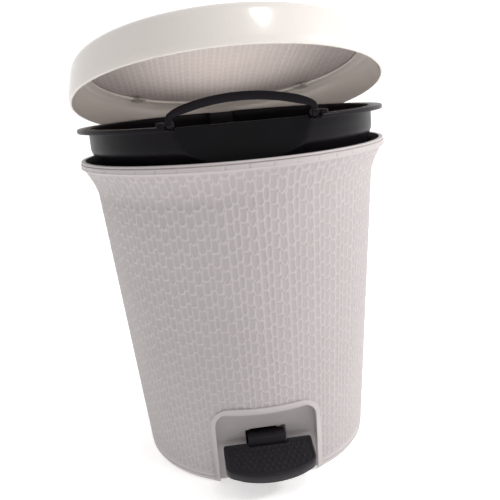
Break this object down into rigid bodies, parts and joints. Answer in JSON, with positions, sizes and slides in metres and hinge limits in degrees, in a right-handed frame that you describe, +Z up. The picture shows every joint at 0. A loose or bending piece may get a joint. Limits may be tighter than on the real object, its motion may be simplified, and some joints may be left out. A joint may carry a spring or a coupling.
{
  "type": "pedal trash can",
  "caption": "Round tapered pedal bin: textured plastic body, lift-out bucket with carrying handle, hinged dome lid, foot pedal and push rod.",
  "frame": {"origin": "centre of the base's footprint on the floor", "axes": "+Z up, -Y towards the pedal at the front, +Y towards the hinge, +X to the right seen from the front"},
  "size_m": [0.276, 0.295, 0.3874],
  "materials": {
    "textured_white": "satin",
    "smooth_white": "satin",
    "gloss_white": "gloss",
    "black_plastic": "matte",
    "bucket_black": "satin",
    "steel": "satin"
  },
  "bodies": {
    "body": {"outer_body": "textured_white", "base": "smooth_white", "rod_guides": "smooth_white", "hinge_bracket": "smooth_white", "bracket_screws": "steel", "hinge_pin": "steel", "pedal_axle": "steel", "axle_clips": "steel"},
    "pedal": {"pedal_lever": "black_plastic", "tread_screws": "steel", "pedal_tread": "black_plastic"},
    "rod": {"push_rod": "steel", "rod_shoe": "black_plastic", "rod_tip": "black_plastic"},
    "lid": {"lid_ring": "gloss_white", "lid_panel": "textured_white", "panel_clips": "smooth_white", "hinge_arm": "smooth_white", "arm_screws": "steel"},
    "bucket": {"inner_bucket": "bucket_black", "handle_pins": "black_plastic"},
    "handle": {"bucket_handle": "bucket_black"}
  },
  "joints": [
    {"name": "lid_hinge", "type": "hinge", "parent": "body", "child": "lid", "pos_m": [0, 0.15, 0.2837], "axis": [-1, 0, 0], "range_deg": [-15, 60]},
    {"name": "pedal_pivot", "type": "hinge", "parent": "body", "child": "pedal", "pos_m": [0, -0.062, 0.03], "axis": [1, 0, 0], "range_deg": [-2.7, 10.7]},
    {"name": "rod_slide", "type": "slide", "parent": "body", "child": "rod", "axis": [0, 0.0771, 0.997], "range_m": [-0.0081, 0.0321]},
    {"name": "bucket_lift", "type": "slide", "parent": "body", "child": "bucket", "axis": [0, 0, 1], "range_m": [-0.0235, 0.0945]},
    {"name": "handle_swing", "type": "hinge", "parent": "bucket", "child": "handle", "pos_m": [0, -0.1155, 0.3081], "axis": [-1, 0, 0], "range_deg": [0, 85]}
  ],
  "couplings": [
    {"joint": "pedal_pivot", "follows": "lid_hinge", "ratio": 0.178},
    {"joint": "rod_slide", "follows": "lid_hinge", "m_per_rad": 0.0305},
    {"joint": "bucket_lift", "follows": "lid_hinge", "m_per_rad": 0.0897}
  ]
}
